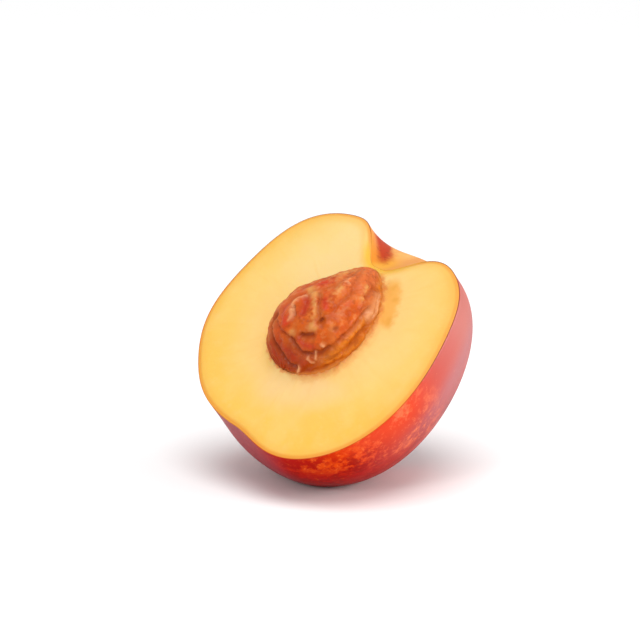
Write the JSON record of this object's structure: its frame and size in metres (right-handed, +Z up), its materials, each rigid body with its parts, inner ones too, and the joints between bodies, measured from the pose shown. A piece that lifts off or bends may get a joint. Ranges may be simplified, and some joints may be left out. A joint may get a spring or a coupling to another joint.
{
  "type": "nectarine",
  "caption": "Halved nectarine lying cut face up and forward on a small flat spot, with the fruit's red skin, golden flesh and furrowed stone in its bed.",
  "frame": {"origin": "centre of the small flat spot that the half rests on", "axes": "+Z up from the resting surface, -Y towards the viewer that the cut face leans to"},
  "size_m": [0.0663, 0.0664, 0.0595],
  "materials": {
    "flesh": "satin",
    "skin": "gloss",
    "stone": "satin"
  },
  "bodies": {
    "root": {"half_fruit": "flesh", "stone": "stone"}
  },
  "joints": []
}
